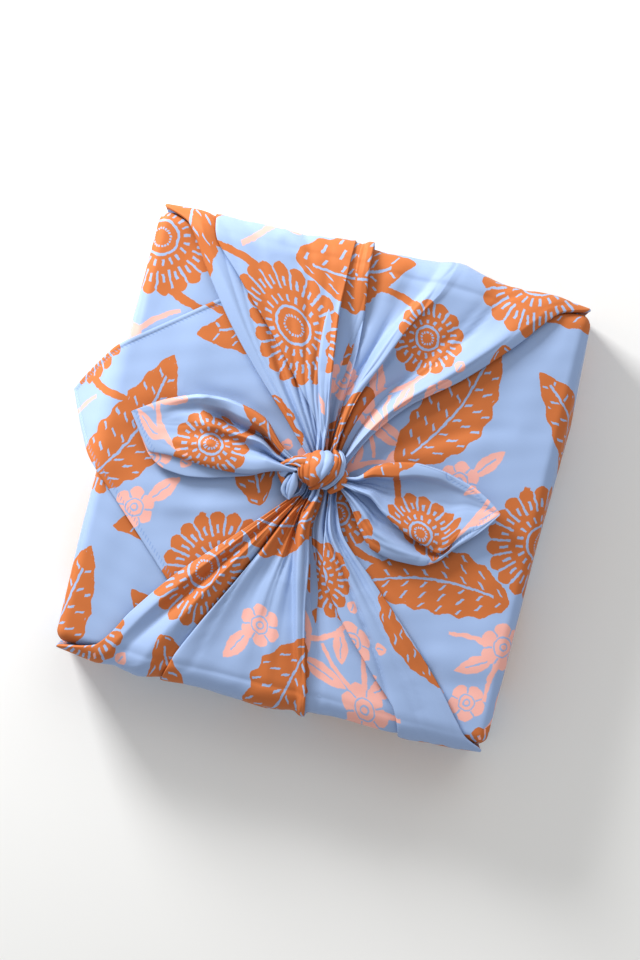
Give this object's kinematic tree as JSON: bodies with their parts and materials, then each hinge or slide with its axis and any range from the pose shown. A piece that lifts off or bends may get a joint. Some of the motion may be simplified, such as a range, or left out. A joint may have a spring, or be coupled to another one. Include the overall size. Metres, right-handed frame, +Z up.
{
  "type": "furoshiki wrap",
  "caption": "Square printed cloth folded round a flat box shape, its far and near corners pleated to the middle and tied in a knot on top with its ends free.",
  "frame": {"origin": "middle of the flat base, on the surface that the wrap rests on", "axes": "+Z up; +Y towards the far pleated corner, the one nearest the top of the picture; +X to the right"},
  "size_m": [0.3126, 0.3036, 0.0839],
  "materials": {
    "printed_cotton": "smooth printed cotton"
  },
  "bodies": {
    "root": {"furoshiki_cloth": "printed_cotton"}
  },
  "joints": []
}
